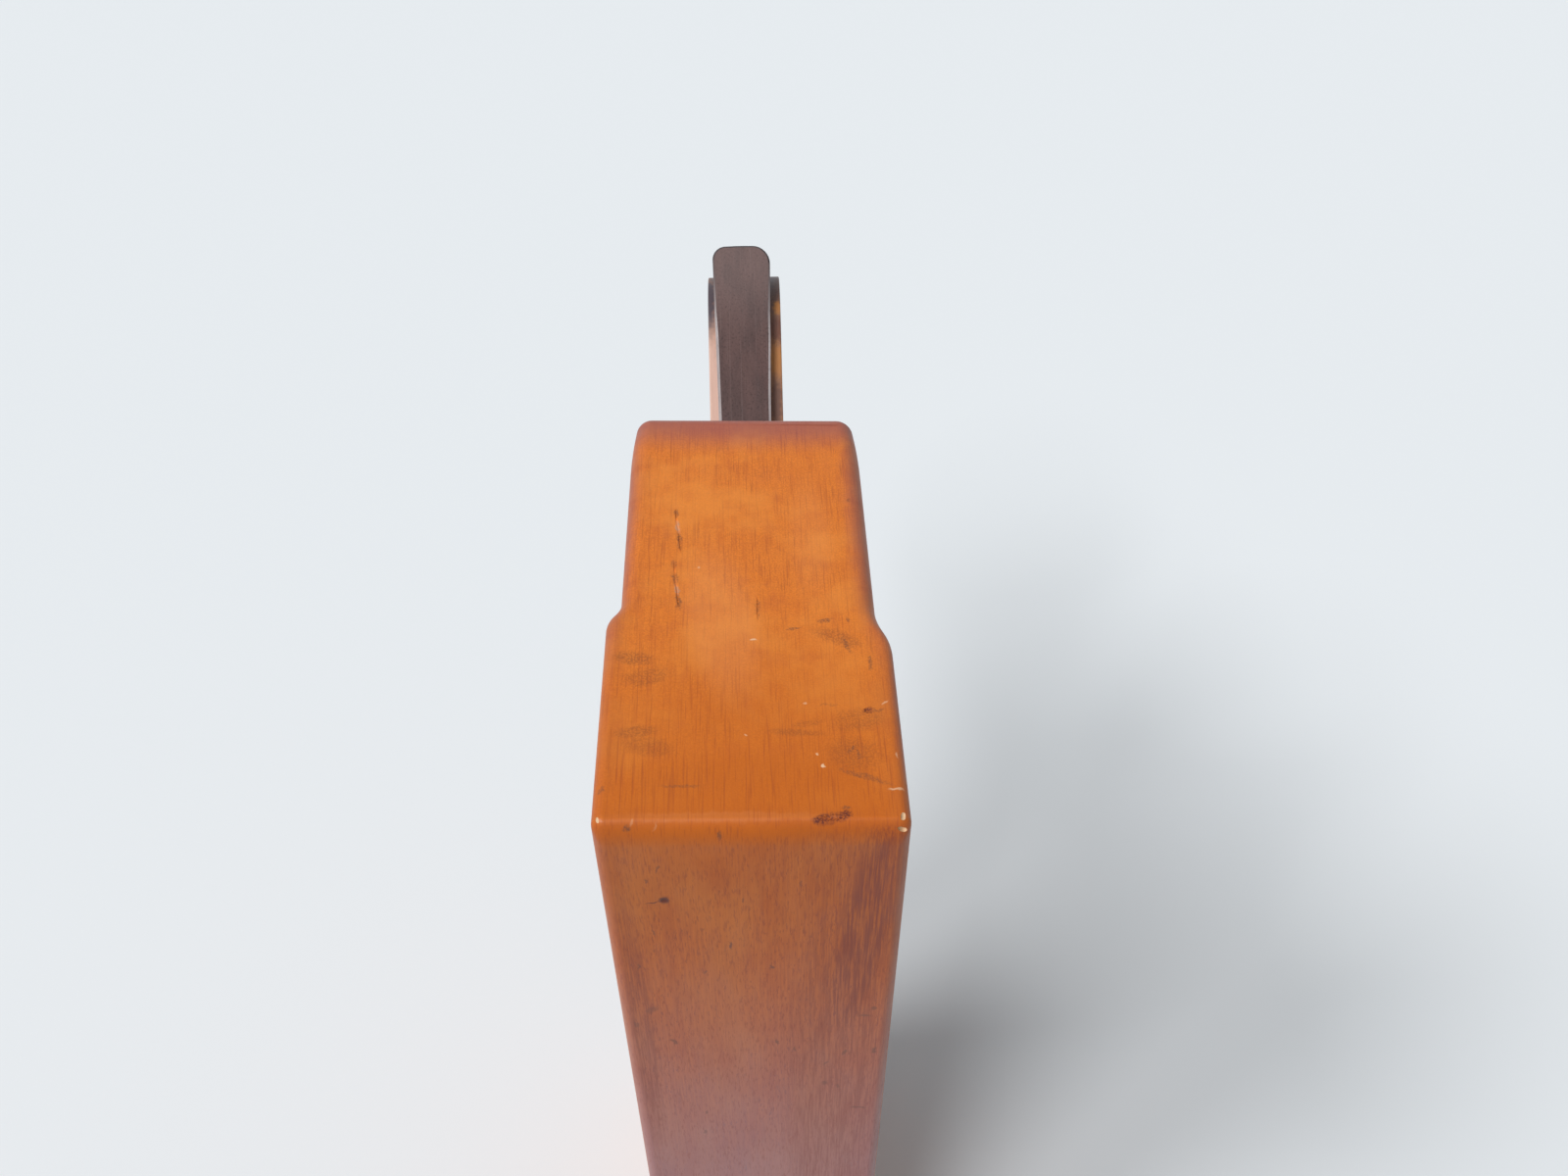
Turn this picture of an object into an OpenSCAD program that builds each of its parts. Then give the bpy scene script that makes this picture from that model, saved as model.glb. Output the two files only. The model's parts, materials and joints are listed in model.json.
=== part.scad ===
// Flat-soled moulding plane: one stock with a shouldered grip, one iron and one wedge.
// The pieces are drawn as the plane lies on its sole, heel at y = 0, toe at +y, sole at z = 0.
// The last step stands the plane on its toe, as it is photographed: +Z runs from toe to heel.

/* [Stock] */
// Length from heel to toe
body_l = 241; // [200:1:280]
// Width of the lower part and of the sole
body_w = 42; // [34:0.5:60]
// Height from the sole to the top
body_h = 85.8; // [76:0.1:100]
// Worn radius of the two long arrises of the sole
sole_round = 1.5; // [0.3:0.1:3]
// Worn radius of the heel and toe arrises of the lower part
end_round = 1.8; // [0.3:0.1:3]

/* [Grip] */
// Width of the narrower upper part
grip_w = 38.2; // [30:0.1:40]
// Height of the middle of the left shoulder
shoulder_left_h = 39.2; // [34:0.1:44]
// Height of the middle of the right shoulder
shoulder_right_h = 35.6; // [34:0.1:44]
// Height that the left shoulder's double curve takes
shoulder_left_run = 6; // [4:0.1:12]
// Height that the right shoulder's double curve takes
shoulder_right_run = 9.4; // [4:0.1:12]
// How far the sides of the grip lean in at the top
grip_ease = 0.55; // [0.2:0.05:1.5]
// Height over which they lean in
grip_ease_run = 11; // [6:0.5:16]
// Radius of the two long arrises along the top
top_round = 3.2; // [1:0.1:4]
// Radius of the grip's heel and toe arrises
grip_end_round = 3; // [1:0.1:4]

/* [Bed and mouth] */
// Pitch of the bed above the sole
bed_angle = 50; // [45:1:55]
// Distance from the heel to the bed's lower edge
mouth_from_heel = 150; // [140:1:165]
// Gap in the sole in front of the cutting edge
mouth_gap = 1.8; // [1:0.1:3]
// Lean of the wall in front of the mouth, off the upright
wear_angle = 10; // [4:1:16]

/* [Escapement] */
// Radius of the opening on the side where the shavings leave
eye_wide_r = 16; // [14:0.5:17]
// Radius of the opening on the other side
eye_narrow_r = 12.5; // [10:0.5:14]
// Height of the opening's middle above the sole
eye_h = 26.5; // [24:0.5:29]
// Width of the eased rim round each side of the opening
eye_rim = 0.8; // [0.4:0.1:1.5]

/* [Iron] */
// Thickness of the iron
iron_t = 3.5; // [2.5:0.1:4.5]
// Length of the iron from its cutting edge to the end of the tang
iron_l = 214; // [200:1:225]
// How far each side of the blade stands proud of the stock
blade_proud = 0.2; // [0.1:0.05:0.5]
// Straight length of the wide blade above the edge
blade_l = 33; // [26:0.5:34]
// Length of the curved shoulders between blade and tang
blade_shoulder_l = 14; // [10:0.5:16]
// Grinding angle of the cutting edge
edge_angle = 30; // [25:1:35]
// Width of the tang where it leaves the stock
tang_w = 11; // [9:0.1:13]
// Width of the tang's hammered end
tang_head_w = 12.4; // [11:0.1:14]
// Length over which the tang widens to its end
tang_head_l = 36; // [20:1:45]
// Radius of the tang end's left corner
tang_left_r = 2.6; // [1:0.1:4]
// Radius of the tang end's right corner
tang_right_r = 3.6; // [1:0.1:4]

/* [Wedge] */
// Width of the wedge across the stock
wedge_w = 16; // [15:0.1:18]
// How far the mortise and the wedge lie right of the middle
mortise_x = 0.3; // [-1:0.1:1]
// Taper between the wedge's two long faces
wedge_angle = 10; // [8:0.5:12]
// Distance along the bed at which those faces would meet
wedge_start = 13; // [11:0.5:16]
// Distance from that point to the wedge's blunt nose
wedge_nose = 7; // [5:0.5:10]
// How far the top of the wedge stays below the end of the tang
wedge_below_tang = 2.5; // [1:0.5:12]
// Radius of the wedge's round head
wedge_head_r = 13; // [10:0.5:14]
// Thickness of the neck below the head
wedge_neck = 15; // [12:0.5:18]
// Radius of the notch in front of the neck, which is struck to draw the wedge out
notch_r = 9.5; // [6:0.5:11]

/* [Fits] */
// Play of the wedge in its mortise, on each side
side_play = 0.15; // [0.1:0.05:0.5]
// Play between iron, bed, wedge and abutment
bed_play = 0.05; // [0.03:0.01:0.2]
// Play in front of the blade where it runs in its slot
slot_play = 0.25; // [0.1:0.05:0.5]
// How far the iron can be drawn back into its slot
iron_back = 5; // [3:0.5:6]

/* [Hidden] */
arc_steps = 8;
$fn = 64;
cut = 1; // how far a cutting shape runs past the face that it opens

shoulder_step = (body_w - grip_w) / 2;
shoulder_top = max(shoulder_left_h + shoulder_left_run / 2, shoulder_right_h + shoulder_right_run / 2);
ease_bend = 2 * atan(grip_ease / grip_ease_run);
ease_r = grip_ease_run / sin(ease_bend);
top_x = grip_w / 2 - grip_ease - top_round * cos(ease_bend);
top_z = body_h - top_round;
ease_top = top_z + top_round * sin(ease_bend);

// Distances off the bed, towards the toe
iron_front = bed_play + iron_t;
wedge_back = iron_front + bed_play;

// Distances up the bed, from its lower edge in the sole
edge_s = -iron_front / tan(bed_angle);
blade_top = edge_s + blade_l;
shoulders_top = blade_top + blade_shoulder_l;
slot_top = shoulders_top + iron_back;
tang_end = edge_s + iron_l;
nose_s = wedge_start + wedge_nose;
wedge_top = tang_end - wedge_below_tang;
head_s = wedge_top - wedge_head_r;
notch_s = head_s - wedge_head_r - notch_r;
bed_top = body_h / sin(bed_angle);

// Places along the sole
edge_y = mouth_from_heel + iron_front / sin(bed_angle);
mouth_front = edge_y + mouth_gap;

blade_w = body_w + 2 * blade_proud;
mortise_w = wedge_w + 2 * side_play;

// The middle of the escapement, whose narrow side just touches the front of the iron
eye_y = mouth_from_heel + (iron_front + eye_narrow_r - eye_h * cos(bed_angle)) / sin(bed_angle);
wear_top = eye_h - eye_narrow_r / 2;

function arc(x, y, r, from, to) =
    [for (i = [0 : arc_steps]) let (a = from + (to - from) * i / arc_steps)
        [x + r * cos(a), y + r * sin(a)]];
function reversed(list) = [for (i = [len(list) - 1 : -1 : 0]) list[i]];
function mirrored(list) = [for (p = list) [-p[0], p[1]]];

// One side of the heel outline, from the sole up to the top
function half_outline(shoulder_h, run) =
    let (bend = 2 * atan(shoulder_step / run), r = run / 2 / sin(bend))
    concat(
        arc(body_w / 2 - sole_round, sole_round, sole_round, -90, 0),
        arc(body_w / 2 - r, shoulder_h - run / 2, r, 0, bend),
        reversed(arc(grip_w / 2 + r, shoulder_h + run / 2, r, 180, 180 + bend)),
        arc(grip_w / 2 - ease_r, ease_top - grip_ease_run, ease_r, 0, ease_bend),
        arc(top_x, top_z, top_round, ease_bend, 90));

// Thickness of the wedge's taper at a distance s up the bed
function taper(s) = (s - wedge_start) * tan(wedge_angle);

module heel_outline()
    polygon(concat(
        half_outline(shoulder_right_h, shoulder_right_run),
        reversed(mirrored(half_outline(shoulder_left_h, shoulder_left_run)))));

// A rectangle from the origin with one radius for its corners at y = 0 and one for those at y = size[1]
module eased_rectangle(size, low_r, high_r)
    polygon(concat(
        arc(low_r, low_r, low_r, 180, 270),
        arc(size[0] - low_r, low_r, low_r, 270, 360),
        arc(size[0] - high_r, size[1] - high_r, high_r, 0, 90),
        arc(high_r, size[1] - high_r, high_r, 90, 180)));

// A block of the stock's length, w wide, with rounded upright arrises, from height low to height high
module plan_block(w, r, low, high)
    translate([-w / 2, 0, low]) linear_extrude(high - low) eased_rectangle([w, body_l], r, r);

// A profile of (along the stock, up) points made w wide across it
module across(w) rotate([90, 0, 90]) linear_extrude(w, center = true) children();

// Children drawn with y off the bed and z up the bed are laid on the bed
module on_bed() translate([0, mouth_from_heel, 0]) rotate([90 - bed_angle, 0, 0]) children();

module stock_block()
    intersection() {
        translate([0, body_l, 0]) rotate([90, 0, 0]) linear_extrude(body_l) heel_outline();
        across(body_w + 2 * cut) eased_rectangle([body_l, body_h], end_round, grip_end_round);
        union() {
            plan_block(body_w, end_round, -cut, shoulder_top);
            plan_block(grip_w, grip_end_round, 0, body_h + cut);
        }
    }

// The mortise, tapered like the wedge, from the escapement up through the top
module mortise_cut()
    on_bed() translate([mortise_x, 0, 0]) across(mortise_w) polygon([
        [0, wedge_start],
        [wedge_back + bed_play, wedge_start],
        [wedge_back + bed_play + taper(bed_top + wedge_w), bed_top + wedge_w],
        [0, bed_top + wedge_w]]);

// The thin slot across the whole stock in which the blade runs
module blade_slot()
    on_bed() across(blade_w + 2 * cut) polygon([
        [0, 3 * edge_s], [iron_front + slot_play, 3 * edge_s],
        [iron_front + slot_play, slot_top], [0, slot_top]]);

// The round opening through both sides, wider on the left, and the throat that joins it to the mouth
module escapement_cut()
    intersection() {
        on_bed() translate([-body_w, 0, -body_h]) cube([2 * body_w, body_h, 3 * body_h]);
        union() {
            translate([-body_w / 2, eye_y, eye_h]) rotate([0, 90, 0])
                cylinder(body_w, eye_wide_r, eye_narrow_r);
            rim_cut(-1, eye_wide_r);
            rim_cut(1, eye_narrow_r);
            across(body_w + 2 * cut) polygon([
                [mouth_from_heel - 2 * wear_top, -cut], [mouth_front, -cut], [mouth_front, 0],
                [mouth_front + wear_top * tan(wear_angle), wear_top],
                [mouth_from_heel - 2 * wear_top, wear_top]]);
        }
    }

// The eased rim where the opening meets a side of the stock
module rim_cut(side, r)
    translate([side * (body_w / 2 - eye_rim), eye_y, eye_h]) rotate([0, side * 90, 0])
        cylinder(eye_rim + cut, r, r + eye_rim + cut);

module stock()
    color("#c6743a") stand_on_toe() difference() {
        stock_block();
        mortise_cut();
        blade_slot();
        escapement_cut();
    }

// Right-hand outline of the iron seen square to its face, from the edge up to the tang's end
function iron_half(corner_r) = concat(
    [[blade_w / 2, edge_s]],
    [for (i = [0 : 2 * arc_steps]) let (t = i / 2 / arc_steps)
        [tang_w / 2 + (blade_w - tang_w) * (1 + cos(180 * t)) / 4, blade_top + blade_shoulder_l * t]],
    [[tang_w / 2, tang_end - tang_head_l]],
    arc(tang_head_w / 2 - corner_r, tang_end - corner_r, corner_r, 0, 90));

module iron()
    color("#655658") stand_on_toe() on_bed() intersection() {
        translate([0, iron_front, 0]) rotate([90, 0, 0]) linear_extrude(iron_t)
            polygon(concat(iron_half(tang_right_r), reversed(mirrored(iron_half(tang_left_r)))));
        across(blade_w + 2 * cut) polygon([
            [iron_front, edge_s], [iron_front, tang_end],
            [bed_play, tang_end], [bed_play, edge_s + iron_t / tan(edge_angle)]]);
    }

// Side of the wedge: straight back, tapered front up to a beak, struck notch, neck and round head
module wedge_profile()
    union() {
        difference() {
            polygon([
                [wedge_back, nose_s], [wedge_back + taper(nose_s), nose_s],
                [wedge_back + taper(notch_s), notch_s], [wedge_back, notch_s]]);
            translate([wedge_back + wedge_neck + notch_r, notch_s]) circle(notch_r);
        }
        translate([wedge_back, notch_s]) square([wedge_neck, head_s - notch_s]);
        translate([wedge_back + wedge_head_r, head_s]) circle(wedge_head_r);
    }

module wedge()
    color("#b9814e") stand_on_toe() on_bed() translate([mortise_x, 0, 0]) across(wedge_w) wedge_profile();

module stand_on_toe() translate([0, -body_h / 2, body_l]) rotate([-90, 0, 0]) children();

stock();
iron();
wedge();
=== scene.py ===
# Wooden moulding plane stood on its toe: one beech stock, one cutting iron and one wedge.
# Metres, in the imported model's frame: +Z runs from the toe up to the heel, and the sole faces -Y.
# Numbers in the dictionaries are millimetres and degrees unless a note says otherwise.
import json
import math
import random
import bmesh
import bpy
from mathutils import Euler, Matrix, Vector


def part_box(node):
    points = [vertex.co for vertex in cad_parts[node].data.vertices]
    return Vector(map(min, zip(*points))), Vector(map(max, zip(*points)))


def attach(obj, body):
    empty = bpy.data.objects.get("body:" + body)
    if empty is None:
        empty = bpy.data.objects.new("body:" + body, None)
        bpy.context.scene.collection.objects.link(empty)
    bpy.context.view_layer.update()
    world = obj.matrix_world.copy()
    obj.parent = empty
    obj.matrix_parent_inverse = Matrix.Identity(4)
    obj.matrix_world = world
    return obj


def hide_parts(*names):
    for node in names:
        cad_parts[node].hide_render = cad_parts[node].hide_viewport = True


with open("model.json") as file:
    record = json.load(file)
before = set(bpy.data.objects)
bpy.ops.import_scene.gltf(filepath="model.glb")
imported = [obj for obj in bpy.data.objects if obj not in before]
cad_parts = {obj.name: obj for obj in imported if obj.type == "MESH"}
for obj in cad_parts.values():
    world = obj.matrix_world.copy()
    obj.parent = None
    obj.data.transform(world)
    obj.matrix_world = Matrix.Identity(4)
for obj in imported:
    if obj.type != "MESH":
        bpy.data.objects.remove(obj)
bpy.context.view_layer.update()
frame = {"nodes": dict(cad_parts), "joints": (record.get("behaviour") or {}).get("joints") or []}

mm = 0.001
scene = bpy.context.scene
scene.view_settings.view_transform = "Standard"
print("plane: frame loaded,", len(frame["nodes"]), "CAD nodes")

# The stock's faces in mm, and the bed, from the joints that slide along it

stockLow, stockHigh = (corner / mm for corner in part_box("stock"))
soleY = stockLow.y
topY = stockHigh.y
heelZ = stockHigh.z
upBed = Vector(frame["joints"][0]["axis"]).normalized()
offBed = Vector((0, upBed.z, -upBed.y))  # square to the bed, towards the toe
bedAngle = math.atan2(upBed.y, upBed.z)
bedFromHeel = 150  # where the bed comes out of the sole
bedFoot = Vector((0, soleY, heelZ - bedFromHeel))


def onBed(x, off, up):
    # A point given across the stock, off the bed and up the bed
    return Vector((x, 0, 0)) + bedFoot + offBed * off + upBed * up


def arcPoints(centreX, centreY, radius, start, end, steps=10):
    angles = [math.radians(start + (end - start) * i / steps) for i in range(steps + 1)]
    return [(centreX + radius * math.cos(a), centreY + radius * math.sin(a)) for a in angles]


def smooth(low, high, value):
    t = min(max((value - low) / (high - low), 0), 1)
    return t * t * (3 - 2 * t)


def makePiece(name, vertices, faces, *materials):
    # Vertices come in mm
    mesh = bpy.data.meshes.new(name)
    mesh.from_pydata([Vector(v) * mm for v in vertices], [], faces)
    mesh.validate()
    for material in materials:
        mesh.materials.append(material)
    piece = bpy.data.objects.new(name, mesh)
    scene.collection.objects.link(piece)
    return piece


def loft(name, rings, *materials):
    # Joins closed rings of points, one after the other, and closes both ends
    count = len(rings[0])
    faces = [tuple(reversed(range(count)))]
    for r in range(len(rings) - 1):
        for i in range(count):
            j = (i + 1) % count
            faces.append((r * count + i, r * count + j, (r + 1) * count + j, (r + 1) * count + i))
    faces.append(tuple(range((len(rings) - 1) * count, len(rings) * count)))
    return makePiece(name, [p for ring in rings for p in ring], faces, *materials)


def carve(piece, cutters):
    # Cuts the cutters out of the piece, gives the cut faces the cutters' materials and deletes the cutters
    for cutter in cutters:
        step = piece.modifiers.new("cut", "BOOLEAN")
        step.operation = "DIFFERENCE"
        step.solver = "EXACT"
        step.material_mode = "TRANSFER"
        step.object = cutter
    depsgraph = bpy.context.evaluated_depsgraph_get()
    carved = bpy.data.meshes.new_from_object(piece.evaluated_get(depsgraph), depsgraph=depsgraph)
    piece.modifiers.clear()
    piece.data = carved
    carved.name = piece.name
    for cutter in cutters:
        bpy.data.objects.remove(cutter)


def easeShading(piece, angle=32):
    # Round parts shade smoothly, flat faces stay flat up to their eased arrises
    piece.data.shade_smooth()
    piece.data.set_sharp_from_angle(angle=math.radians(angle))
    weighted = piece.modifiers.new("flatFaces", "WEIGHTED_NORMAL")
    weighted.keep_sharp = True
    weighted.weight = 100


# Materials

def hexColour(code):
    # sRGB hex to the linear values that a socket takes
    channels = [int(code[i:i + 2], 16) / 255 for i in (1, 3, 5)]
    linear = [c / 12.92 if c <= 0.04045 else ((c + 0.055) / 1.055) ** 2.4 for c in channels]
    return (*linear, 1)


def addNode(tree, kind, settings=None, links=None):
    # settings are the node's own options; links are its sockets, each given a value, a node or a socket
    node = tree.nodes.new("ShaderNode" + kind)
    for option, value in (settings or {}).items():
        setattr(node, option, value)
    for socket, value in (links or {}).items():
        if isinstance(value, bpy.types.Node):
            value = next(output for output in value.outputs if output.enabled)
        if isinstance(value, bpy.types.NodeSocket):
            tree.links.new(value, node.inputs[socket])
        else:
            node.inputs[socket].default_value = value
    return node


softRange = {"interpolation_type": "SMOOTHSTEP"}  # for a range that eases in and out


def newMaterial(name):
    material = bpy.data.materials.new(name)
    material.use_nodes = True
    material.node_tree.nodes.clear()
    return material, material.node_tree


def placeInMm(tree, tilted):
    # Object coordinates in mm, turned so that Z runs up the bed for the pieces that lie on it
    turn = Euler((bedAngle if tilted else 0, 0, 0))
    shift = bedFoot.copy() if tilted else Vector((0, 0, 0))
    shift.rotate(turn)
    place = addNode(tree, "TexCoord")
    return addNode(tree, "Mapping", None, {
        "Vector": place.outputs["Object"], "Scale": (1 / mm,) * 3, "Rotation": turn, "Location": -shift})


def grainNoise(tree, spot, size, detail=2.0, roughness=0.5):
    # Noise whose grains measure about size = (x, y, z) mm
    stretched = addNode(tree, "Mapping", None, {"Vector": spot, "Scale": tuple(1 / s for s in size)})
    return addNode(tree, "TexNoise", None, {
        "Vector": stretched, "Scale": 1.0, "Detail": detail, "Roughness": roughness}).outputs["Fac"]


def markMask(tree, spot, marks):
    # A mark is its place, three radii, turns about x, y and z, and a strength; the strongest one shows
    mask = None
    for x, y, z, rx, ry, rz, turn, strength in marks:
        local = addNode(tree, "Mapping", {"vector_type": "TEXTURE"}, {
            "Vector": spot, "Location": (x, y, z), "Scale": (rx, ry, rz),
            "Rotation": tuple(math.radians(a) for a in turn)})
        far = addNode(tree, "VectorMath", {"operation": "LENGTH"}, {0: local}).outputs["Value"]
        # full up to nearly half of its radii, gone just past them
        one = addNode(tree, "MapRange", softRange, {
            "Value": far, "From Min": 0.45, "From Max": 1.1, "To Min": strength, "To Max": 0.0})
        mask = one if mask is None else addNode(tree, "Math", {"operation": "MAXIMUM"}, {0: mask, 1: one})
    return mask


def blendColour(tree, amount, first, second, mode="MIX"):
    return addNode(tree, "Mix", {"data_type": "RGBA", "blend_type": mode}, {0: amount, 6: first, 7: second})


def arrisDistance(tree, spot):
    # How far a point of the stock lies from its nearest outside arris, in mm
    f = stockForm
    midZ = heelZ / 2
    axes = addNode(tree, "SeparateXYZ", None, {0: spot})
    x, y, z = axes.outputs
    halfWidth = addNode(tree, "MapRange", softRange, {
        "Value": y, "From Min": f["narrowFrom"], "From Max": f["narrowTo"],
        "To Min": f["lowerHalf"], "To Max": f["gripHalf"]})
    across = addNode(tree, "Math", {"operation": "ABSOLUTE"}, {0: x})
    side = addNode(tree, "Math", {"operation": "SUBTRACT"}, {0: halfWidth, 1: across})
    fromMiddle = addNode(tree, "Math", {"operation": "ABSOLUTE"}, {0: y})
    flat = addNode(tree, "Math", {"operation": "SUBTRACT"}, {0: topY, 1: fromMiddle})
    along = addNode(tree, "Math", {"operation": "SUBTRACT"}, {0: z, 1: midZ})
    fromMid = addNode(tree, "Math", {"operation": "ABSOLUTE"}, {0: along})
    end = addNode(tree, "Math", {"operation": "SUBTRACT"}, {0: midZ, 1: fromMid})
    nearer = addNode(tree, "Math", {"operation": "MINIMUM"}, {0: side, 1: flat})
    farther = addNode(tree, "Math", {"operation": "MAXIMUM"}, {0: side, 1: flat})
    second = addNode(tree, "Math", {"operation": "MINIMUM"}, {0: farther, 1: end})
    return addNode(tree, "Math", {"operation": "MAXIMUM"}, {0: nearer, 1: second})


def beech(name, look, tilted=False):
    # European beech: even, fine wood with faint rings, and rays that show as fine streaks on end grain,
    # short dark dashes on the flat-sawn sole and flecks on the sides
    material, tree = newMaterial(name)
    spot = placeInMm(tree, tilted)
    axes = addNode(tree, "SeparateXYZ", None, {0: spot})

    # growth rings, as distance from a pith far above the grip
    pithX, pithY = look["pith"]
    outward = addNode(tree, "VectorMath", {"operation": "MULTIPLY_ADD"}, {
        0: spot, 1: (1, 1, 0), 2: (-pithX, -pithY, 0)})
    reach = addNode(tree, "VectorMath", {"operation": "LENGTH"}, {0: outward}).outputs["Value"]
    leaning = addNode(tree, "Math", {"operation": "MULTIPLY_ADD"}, {
        0: axes.outputs[2], 1: look["ringLean"], 2: reach})
    wander = grainNoise(tree, spot, (26, 26, 90), 2.0)
    wandering = addNode(tree, "Math", {"operation": "MULTIPLY_ADD"}, {
        0: wander, 1: look["ringWander"], 2: leaning})
    count = addNode(tree, "Math", {"operation": "DIVIDE"}, {0: wandering, 1: look["ringSpacing"]})
    # uneven rings: smooth noise along the count, about one swing per ring
    rings = addNode(tree, "TexNoise", {"noise_dimensions": "1D"}, {"W": count, "Scale": 1.0, "Detail": 2.0})
    ringAmount = addNode(tree, "MapRange", softRange, {
        "Value": rings.outputs["Fac"], "From Min": 0.42, "From Max": 0.66, "To Max": look["ringStrength"]})
    tone = blendColour(tree, ringAmount, hexColour(look["early"]), hexColour(look["late"]))

    # rays are 0.1 mm thick in the tree; drawn 0.25 mm thick so that they show, 2 mm high and 8 mm long
    rayField = grainNoise(tree, spot, (0.25, 8, 2.0), 2.0, 0.6)
    rays = addNode(tree, "MapRange", softRange, {
        "Value": rayField, "From Min": 0.5, "From Max": 0.74})
    rayAmount = addNode(tree, "Math", {"operation": "MULTIPLY"}, {0: rays, 1: look["rayStrength"]})
    tone = blendColour(tree, rayAmount, tone, hexColour(look["ray"]))
    # larger rays stand apart as dark flecks, 0.3 mm wide and 2 mm high
    fleckField = grainNoise(tree, spot, (0.32, 5, 1.9), 1.0)
    flecks = addNode(tree, "MapRange", softRange, {
        "Value": fleckField, "From Min": 0.66, "From Max": 0.74, "To Max": look["fleckStrength"]})
    tone = blendColour(tree, flecks, tone, hexColour(look["fleck"]))
    # pores and fibres are 0.06 mm wide; drawn 0.25 mm wide
    fibres = grainNoise(tree, spot, (0.25, 0.25, 7), 2.0)
    fibreAmount = addNode(tree, "MapRange", None, {
        "Value": fibres, "From Min": 0.35, "From Max": 0.75, "To Max": look["fibreStrength"]})
    tone = blendColour(tree, fibreAmount, tone, hexColour(look["ray"]))
    # broad soft streaks beside each other, where varnish sank in more or less
    streaks = grainNoise(tree, spot, look["streakSize"], 2.0, 0.6)
    streakAmount = addNode(tree, "MapRange", softRange, {
        "Value": streaks, "From Min": 0.45, "From Max": 0.72, "To Max": look["streakStrength"]})
    tone = blendColour(tree, streakAmount, tone, hexColour(look["streak"]))
    clouds = grainNoise(tree, spot, look["cloudSize"], 3.0, 0.6)
    cloudAmount = addNode(tree, "MapRange", softRange, {
        "Value": clouds, "From Min": 0.42, "From Max": 0.68, "To Max": look["cloudStrength"]})
    tone = blendColour(tree, cloudAmount, tone, hexColour(look["cloud"]))
    # small patches where the finish is rubbed or dirty, which also change the gloss
    patches = grainNoise(tree, spot, (5, 4, 14), 4.0, 0.65)
    patchAmount = addNode(tree, "MapRange", softRange, {
        "Value": patches, "From Min": 0.5, "From Max": 0.72, "To Max": look["patchStrength"]})
    tone = blendColour(tree, patchAmount, tone, hexColour(look["patch"]))
    roughness = addNode(tree, "MapRange", None, {
        "Value": patches, "From Min": 0.3, "From Max": 0.7,
        "To Min": look["roughness"][0], "To Max": look["roughness"][1]})

    if look.get("handled"):
        # hands and dust leave a darker, redder band beside every outside arris
        ragged = addNode(tree, "Math", {"operation": "MULTIPLY_ADD"}, {
            0: clouds, 1: -6.0, 2: arrisDistance(tree, spot)})
        band = addNode(tree, "MapRange", softRange, {
            "Value": ragged, "From Min": -3.4, "From Max": 1.6,
            "To Min": look["handledStrength"], "To Max": 0.0})
        tone = blendColour(tree, band, tone, hexColour(look["handled"]))
    coat = look["coat"]
    if look.get("soleTone"):
        # the sole and the foot of its arrises are browner, and burnished so that they mirror the floor
        onSole = addNode(tree, "MapRange", softRange, {
            "Value": axes.outputs[1], "From Min": soleY + 0.7, "From Max": soleY + 1.7,
            "To Min": 1.0, "To Max": 0.0})
        browner = addNode(tree, "Math", {"operation": "MULTIPLY"}, {0: onSole, 1: look["soleStrength"]})
        tone = blendColour(tree, browner, tone, hexColour(look["soleTone"]))
        # painted reflection: a grey-violet tint towards the mouth stands in for blue surroundings mirrored
        # in the sole
        towardsMouth = addNode(tree, "MapRange", softRange, {
            "Value": axes.outputs[2], "From Min": 120.0, "From Max": 222.0,
            "To Min": look["paintedBlueReflectionStrength"], "To Max": 0.0})
        paintedBlueReflection = addNode(tree, "Math", {"operation": "MULTIPLY"}, {0: onSole, 1: towardsMouth})
        tone = blendColour(tree, paintedBlueReflection, tone, hexColour(look["paintedBlueReflection"]))
        coat = addNode(tree, "MapRange", None, {
            "Value": onSole, "To Min": look["coat"], "To Max": look["solePolish"]})
    if look.get("stains"):
        # marks get ragged outlines from a small push of the coordinates
        push = addNode(tree, "TexNoise", None, {"Vector": spot, "Scale": 0.9, "Detail": 4.0})
        centred = addNode(tree, "VectorMath", {"operation": "SUBTRACT"}, {
            0: push.outputs["Color"], 1: (0.5,) * 3})
        pushed = addNode(tree, "VectorMath", {"operation": "MULTIPLY_ADD"}, {
            0: centred, 1: (look["ragged"],) * 3, 2: spot})
        for kind, stains in look["stains"].items():
            unmarked = tone
            for colour, marks in stains.items():
                tone = blendColour(tree, markMask(tree, pushed, marks), tone, hexColour(colour))
            if kind == "zones":
                # towards the sole the varnish is worn and the rays have taken up dirt
                worn = addNode(tree, "MapRange", None, {
                    "Value": axes.outputs[1], "From Min": -14.0, "From Max": -34.0, "To Max": 0.38})
                dirtyRays = addNode(tree, "Math", {"operation": "MULTIPLY"}, {0: rays, 1: worn})
                tone = blendColour(tree, dirtyRays, tone, hexColour(look["ray"]))
            if kind == "bruises":
                # the dirt of a bruise sits in the open fibres and leaves the wood between them cleaner
                cleaner = addNode(tree, "MapRange", None, {
                    "Value": fibres, "From Min": 0.6, "From Max": 0.4, "To Max": 0.62})
                tone = blendColour(tree, cleaner, tone, unmarked)

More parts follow.
